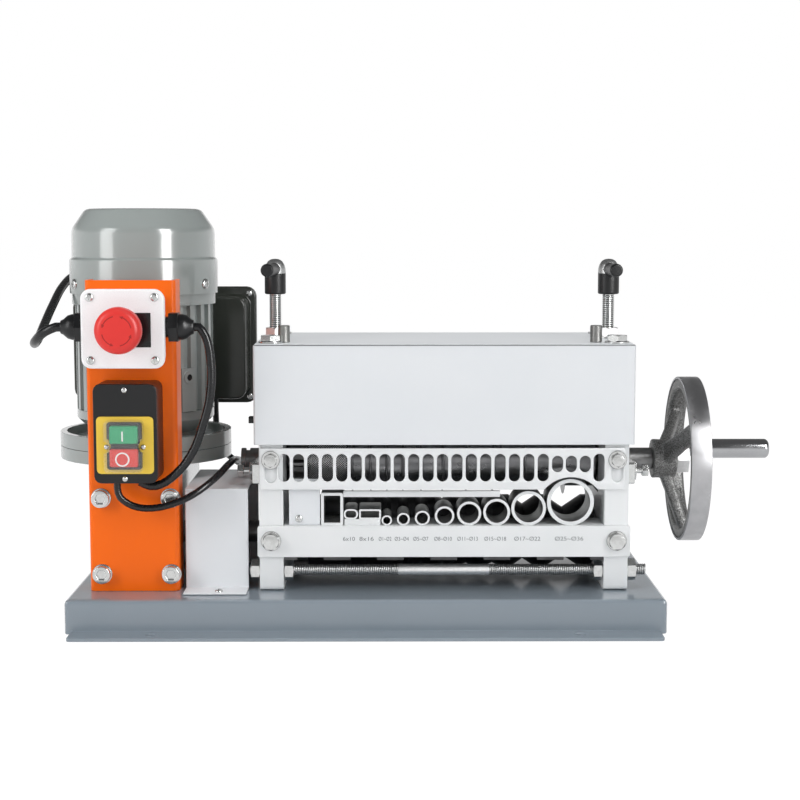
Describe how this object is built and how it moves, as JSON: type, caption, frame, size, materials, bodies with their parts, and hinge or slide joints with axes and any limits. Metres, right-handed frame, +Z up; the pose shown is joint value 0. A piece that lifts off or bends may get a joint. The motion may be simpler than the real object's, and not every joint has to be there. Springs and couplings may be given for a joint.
{
  "type": "wire stripping machine",
  "caption": "Bench machine that strips cable: geared blade and feed shafts behind guide tubes, motor on a worm gearbox, handwheel with crank grip, emergency stop and start switch on a column.",
  "frame": {"origin": "middle of the underside of the machine's bounding box, with its mains lead left out", "axes": "+X along the shafts towards the handwheel, +Y away from the operator, +Z up"},
  "size_m": [0.6882, 0.5666, 0.362],
  "materials": {
    "blue_grey_enamel": "gloss",
    "silver_enamel": "satin",
    "white_powder_coat": "satin",
    "orange_powder_coat": "gloss",
    "grey_motor_paint": "gloss",
    "zinc_plate": "bright",
    "turned_steel": "machined",
    "ground_blade_steel": "ground",
    "cast_iron": "blackened",
    "chrome_grip": "polished",
    "white_abs": "gloss",
    "black_plastic": "satin",
    "dark_grey_plastic": "satin",
    "yellow_plastic": "satin",
    "clear_silicone": "clear",
    "red_plastic": "satin",
    "green_plastic": "satin",
    "black_pvc": "satin"
  },
  "bodies": {
    "root": {"base_pan": "blue_grey_enamel", "left_end_frame": "silver_enamel", "right_end_frame": "silver_enamel", "front_tie_rod": "zinc_plate", "rear_tie_rod": "zinc_plate", "upper_tie_rod": "zinc_plate", "size_bar": "silver_enamel", "tube_rack": "silver_enamel", "gear_guard": "white_powder_coat", "top_cover": "white_powder_coat", "left_lower_bearing": "turned_steel", "right_lower_bearing": "turned_steel", "left_side_clamp": "zinc_plate", "right_side_clamp": "zinc_plate", "control_column": "orange_powder_coat", "estop_box_base": "white_abs", "estop_box_lid": "white_abs", "left_gland": "black_plastic", "right_gland": "black_plastic", "switch_box": "black_plastic", "switch_face_plate": "yellow_plastic", "switch_boot": "clear_silicone", "gearbox_housing": "grey_motor_paint", "motor_end_shield": "grey_motor_paint", "motor_body": "grey_motor_paint", "fan_cover": "grey_motor_paint", "terminal_box": "dark_grey_plastic", "terminal_box_lid": "dark_grey_plastic", "coupling_guard": "white_powder_coat", "control_lead": "black_pvc", "motor_lead": "black_pvc", "mains_lead": "black_pvc", "mains_coil": "black_pvc", "coil_tie": "black_plastic", "mains_plug": "black_plastic"},
    "motor_rotor": {"cooling_fan": "black_plastic"},
    "lower_drive": {"lower_shaft": "turned_steel", "shaft_coupling": "turned_steel", "feed_rollers": "turned_steel", "lower_gear": "turned_steel"},
    "blade_carriage": {"left_bearing_block": "turned_steel", "right_bearing_block": "turned_steel", "left_upper_bearing": "turned_steel", "right_upper_bearing": "turned_steel"},
    "upper_drive": {"upper_shaft": "turned_steel", "blade_stack": "ground_blade_steel", "knurled_drum": "turned_steel", "upper_gear": "turned_steel", "handwheel": "cast_iron", "wheel_nut": "zinc_plate"},
    "crank_grip": {"grip": "chrome_grip"},
    "left_screw": {"left_adjusting_screw": "zinc_plate", "left_screw_handle": "black_plastic"},
    "right_screw": {"right_adjusting_screw": "zinc_plate", "right_screw_handle": "black_plastic"},
    "guard": {"slotted_guard": "silver_enamel"},
    "estop_stem": {"estop_stem": "black_plastic"},
    "estop_head": {"estop_head": "red_plastic"},
    "start_button": {"start_button": "green_plastic"},
    "stop_button": {"stop_button": "red_plastic"}
  },
  "joints": [
    {"name": "motor_spin", "type": "hinge", "parent": "root", "child": "motor_rotor", "pos_m": [-0.2516, 0.01955, 0.3], "axis": [0, 0, 1], "continuous": true},
    {"name": "lower_shaft_spin", "type": "hinge", "parent": "root", "child": "lower_drive", "pos_m": [-0.0416, -0.03045, 0.07], "axis": [1, 0, 0], "continuous": true},
    {"name": "blade_height", "type": "slide", "parent": "root", "child": "blade_carriage", "axis": [0, 0, 1], "range_m": [-0.0015, 0.004]},
    {"name": "upper_shaft_spin", "type": "hinge", "parent": "blade_carriage", "child": "upper_drive", "pos_m": [-0.0416, -0.03045, 0.1374], "axis": [1, 0, 0], "continuous": true},
    {"name": "grip_spin", "type": "hinge", "parent": "upper_drive", "child": "crank_grip", "pos_m": [0.2784, 0.03555, 0.1374], "axis": [1, 0, 0], "continuous": true},
    {"name": "left_screw_turn", "type": "hinge", "parent": "blade_carriage", "child": "left_screw", "pos_m": [-0.1251, -0.03045, 0.2885], "axis": [0, 0, 1], "range_deg": [-361, 961]},
    {"name": "right_screw_turn", "type": "hinge", "parent": "blade_carriage", "child": "right_screw", "pos_m": [0.1779, -0.03045, 0.2885], "axis": [0, 0, 1], "range_deg": [-361, 961]},
    {"name": "guard_height", "type": "slide", "parent": "root", "child": "guard", "axis": [0, 0, 1], "range_m": [0, 0.012]},
    {"name": "estop_push", "type": "slide", "parent": "root", "child": "estop_stem", "axis": [0, 1, 0], "range_m": [0, 0.004]},
    {"name": "estop_twist", "type": "hinge", "parent": "estop_stem", "child": "estop_head", "pos_m": [-0.2438, -0.15655, 0.2647], "axis": [0, 1, 0], "range_deg": [0, 30]},
    {"name": "start_push", "type": "slide", "parent": "root", "child": "start_button", "axis": [0, 1, 0], "range_m": [0, 0.0025], "stiffness_N_per_m": 600},
    {"name": "stop_push", "type": "slide", "parent": "root", "child": "stop_button", "axis": [0, 1, 0], "range_m": [0, 0.0025], "stiffness_N_per_m": 600}
  ],
  "couplings": [
    {"joint": "lower_shaft_spin", "follows": "motor_spin", "ratio": 0.05},
    {"joint": "upper_shaft_spin", "follows": "motor_spin", "ratio": -0.05},
    {"joint": "left_screw_turn", "follows": "blade_height", "rad_per_m": 4188.8},
    {"joint": "right_screw_turn", "follows": "blade_height", "rad_per_m": 4188.8}
  ]
}
